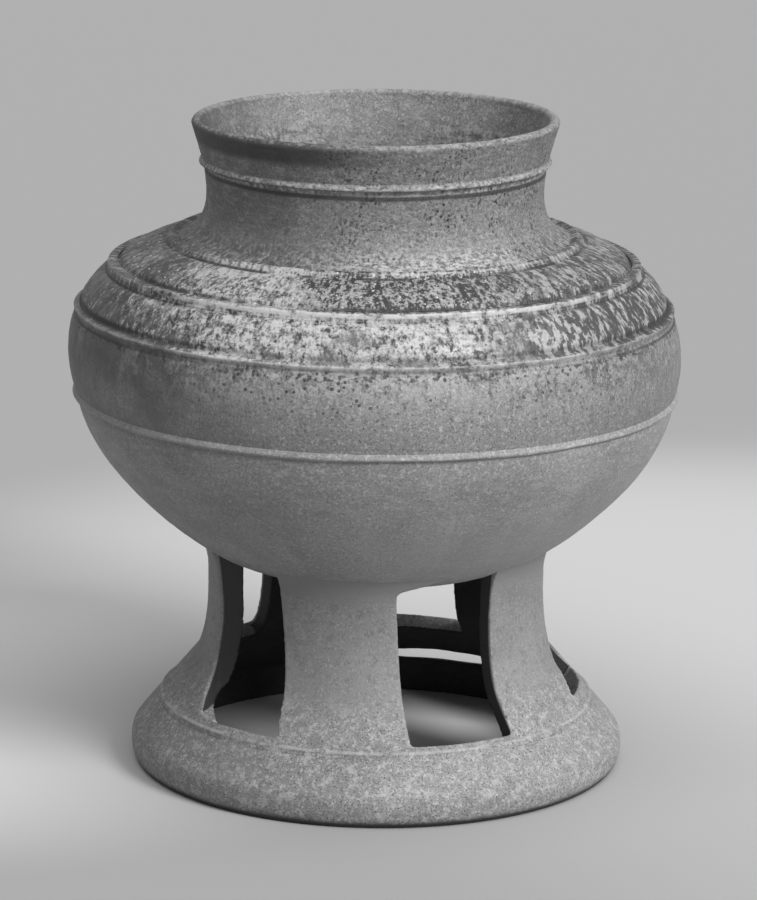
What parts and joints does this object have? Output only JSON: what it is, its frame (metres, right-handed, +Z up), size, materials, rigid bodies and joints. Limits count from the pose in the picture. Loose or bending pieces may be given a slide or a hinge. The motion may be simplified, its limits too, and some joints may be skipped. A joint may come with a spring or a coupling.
{
  "type": "footed jar",
  "caption": "Squat round stoneware jar with a short flared neck and raised cordons, on a tall openwork pedestal foot.",
  "frame": {"origin": "centre of the ring that the foot stands on, in the plane it stands on", "axes": "+Z up along the wheel axis; -Y is the side that the picture faces, +X to its right"},
  "size_m": [0.206, 0.206, 0.2221],
  "materials": {
    "foot_clay": "matt, speckled stoneware",
    "body_clay": "matt, fine-grained stoneware",
    "ash_clay": "stoneware with a mottled natural ash glaze",
    "neck_clay": "matt, pitted stoneware"
  },
  "bodies": {
    "root": {"pedestal": "foot_clay", "lower_bowl": "body_clay", "belly_cordon": "body_clay", "shoulder": "ash_clay", "lower_shoulder_cordon": "ash_clay", "upper_shoulder_cordon": "ash_clay", "neck_root_cordon": "ash_clay", "neck": "neck_clay", "neck_cordon": "neck_clay"}
  },
  "joints": []
}
